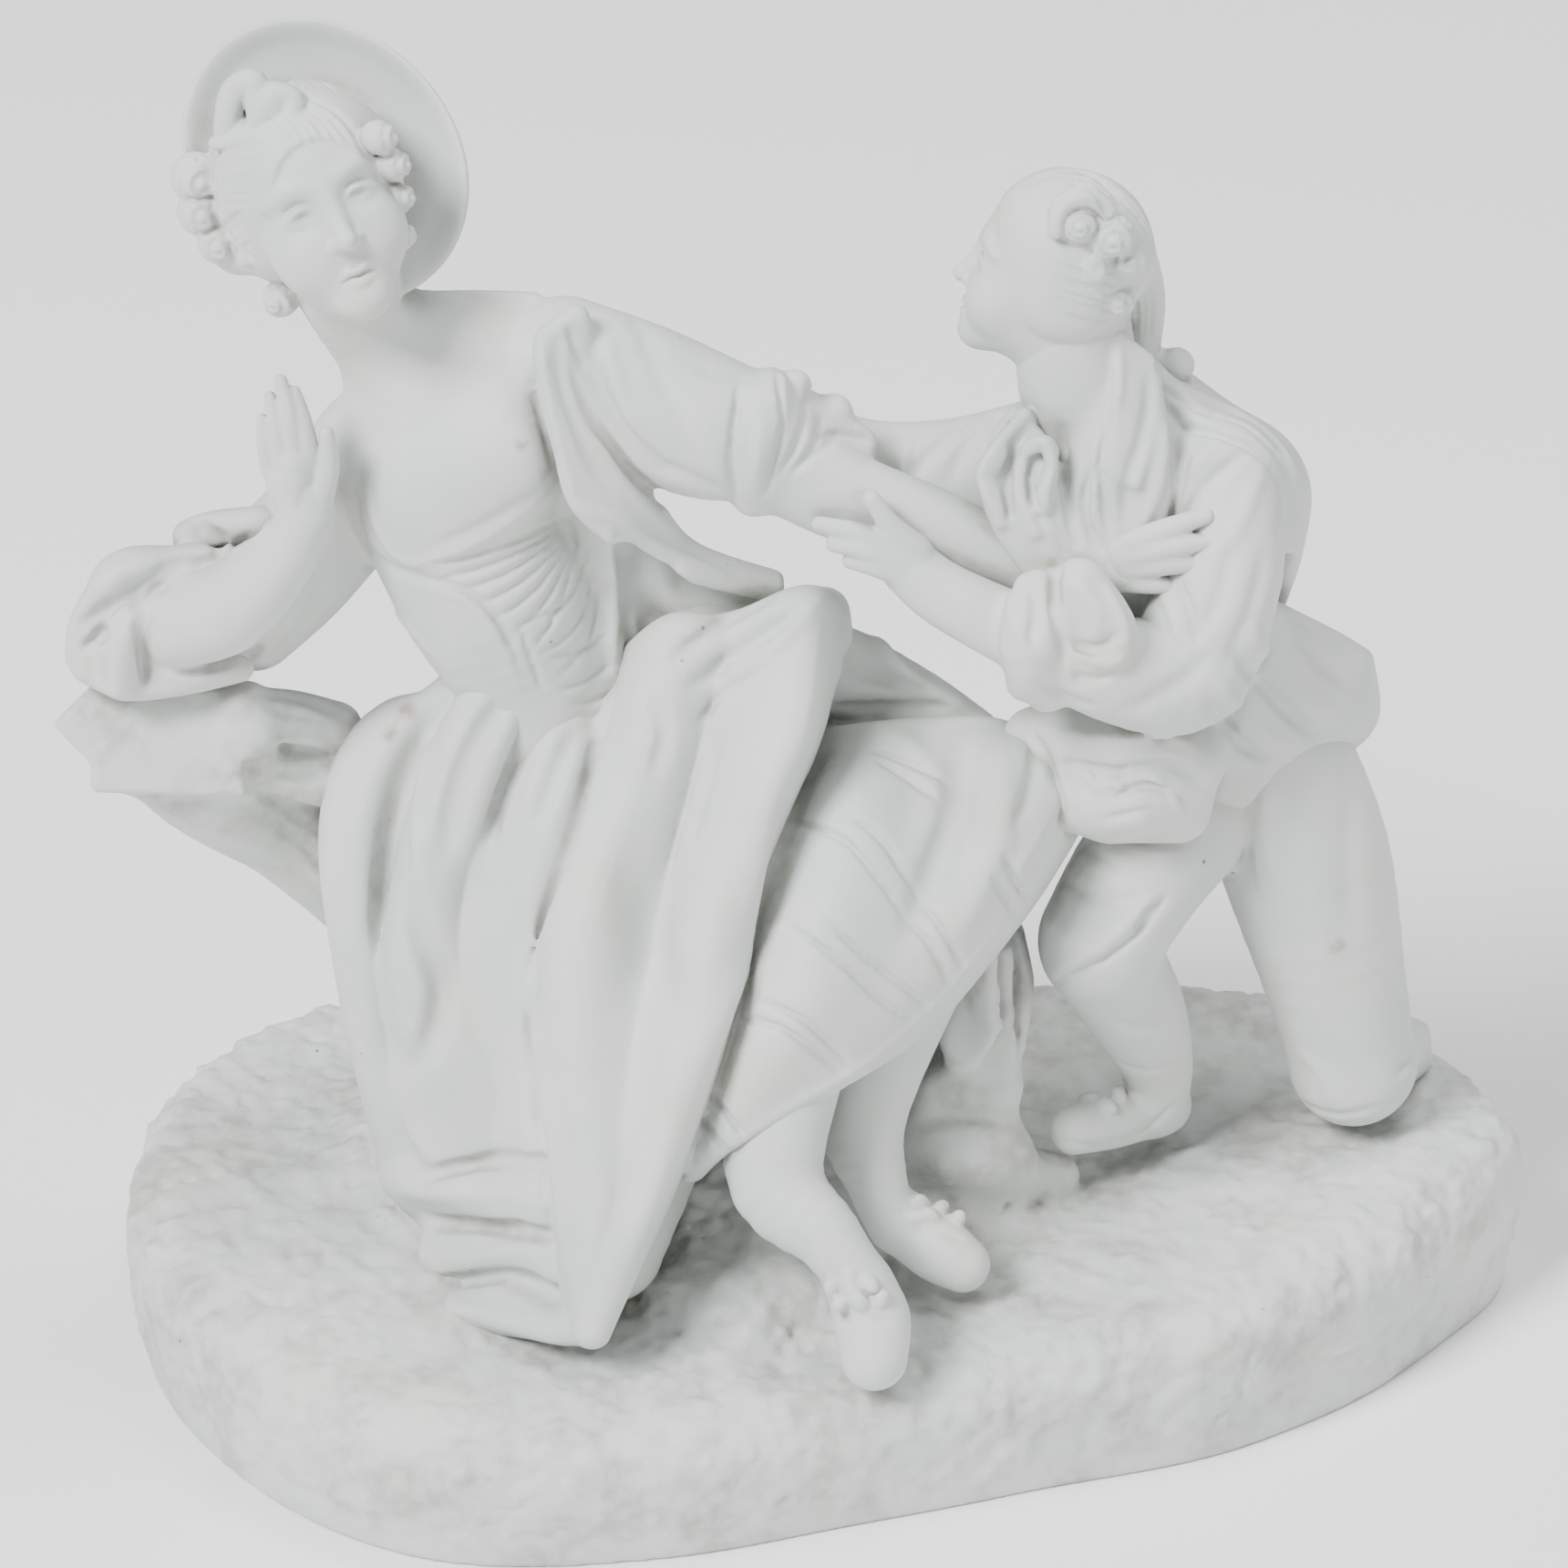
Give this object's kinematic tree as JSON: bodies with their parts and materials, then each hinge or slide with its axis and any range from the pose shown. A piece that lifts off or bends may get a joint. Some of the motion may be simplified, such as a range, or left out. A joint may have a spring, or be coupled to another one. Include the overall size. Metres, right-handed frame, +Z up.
{
  "type": "bisque figure group",
  "caption": "Unglazed porcelain figure group: seated lady in a brimmed hat leaning on a tree trunk, kneeling boy taking her arm, on an oval earth and rock base.",
  "frame": {"origin": "on the flat underside of the ground base, near its middle", "axes": "+Z up, +X to the right as the front is seen, -Y towards the viewer in front"},
  "size_m": [0.2747, 0.1638, 0.256],
  "materials": {
    "bisque": "unglazed white bisque porcelain, matte, with faint warm soiling in the folds"
  },
  "bodies": {
    "root": {"figure_group": "bisque"}
  },
  "joints": []
}
